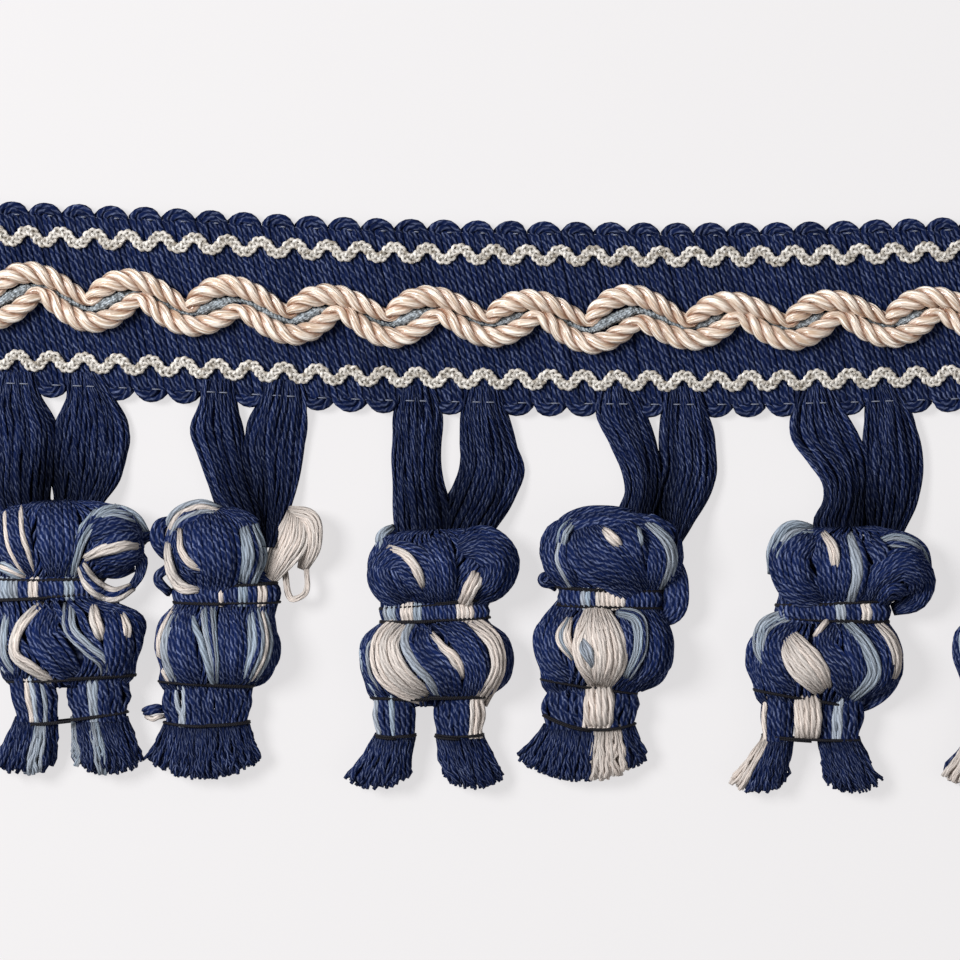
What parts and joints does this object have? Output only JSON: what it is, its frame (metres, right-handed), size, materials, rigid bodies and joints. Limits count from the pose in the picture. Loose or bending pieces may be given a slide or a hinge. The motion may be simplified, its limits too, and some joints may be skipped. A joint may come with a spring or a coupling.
{
  "type": "tassel braid trim",
  "caption": "Cut length of woven braid trim with looped edges, zigzag braids and twisted cords, and a fringe of tied yarn tassels on looped hangers, lying flat to be sewn on by its back.",
  "frame": {"origin": "middle of the band's flat back, on the surface that the trim lies on", "axes": "+X along the trim, +Y across the band away from the tassels, +Z out of the trim's face"},
  "size_m": [0.228, 0.1128, 0.0118],
  "materials": {
    "navy_yarn": "matt plied yarn",
    "mixed_yarn": "matt plied yarn in navy, pale blue and cream",
    "satin_cord": "glossy twisted filament",
    "cream_braid": "soft sheen braid",
    "blue_cord": "matt wrapped cord",
    "black_thread": "matt thread"
  },
  "bodies": {
    "root": {"woven_band": "navy_yarn", "zigzag_braid_upper": "cream_braid", "zigzag_braid_lower": "cream_braid", "twisted_cord_upper": "satin_cord", "twisted_cord_lower": "satin_cord", "fine_cord": "blue_cord", "hanger_1": "navy_yarn", "tassel_1": "mixed_yarn", "tassel_1_waist_tie_upper": "black_thread", "tassel_1_waist_tie_lower": "black_thread", "tassel_1_belly_tie": "black_thread", "tassel_1_foot_tie": "black_thread", "hanger_2": "navy_yarn", "tassel_2": "mixed_yarn", "tassel_2_waist_tie_upper": "black_thread", "tassel_2_waist_tie_lower": "black_thread", "tassel_2_belly_tie": "black_thread", "tassel_2_foot_tie": "black_thread", "hanger_3": "navy_yarn", "tassel_3": "mixed_yarn", "tassel_3_waist_tie_upper": "black_thread", "tassel_3_waist_tie_lower": "black_thread", "tassel_3_belly_tie": "black_thread", "tassel_3_foot_tie_1": "black_thread", "tassel_3_foot_tie_2": "black_thread", "hanger_4": "navy_yarn", "tassel_4": "mixed_yarn", "tassel_4_waist_tie_upper": "black_thread", "tassel_4_waist_tie_lower": "black_thread", "tassel_4_belly_tie": "black_thread", "tassel_4_foot_tie": "black_thread", "hanger_5": "navy_yarn", "tassel_5": "mixed_yarn", "tassel_5_waist_tie_upper": "black_thread", "tassel_5_waist_tie_lower": "black_thread", "tassel_5_belly_tie": "black_thread", "tassel_5_foot_tie": "black_thread", "hanger_6": "navy_yarn", "tassel_6": "mixed_yarn", "tassel_6_waist_tie_upper": "black_thread", "tassel_6_waist_tie_lower": "black_thread", "tassel_6_belly_tie": "black_thread", "tassel_6_foot_tie": "black_thread"}
  },
  "joints": []
}
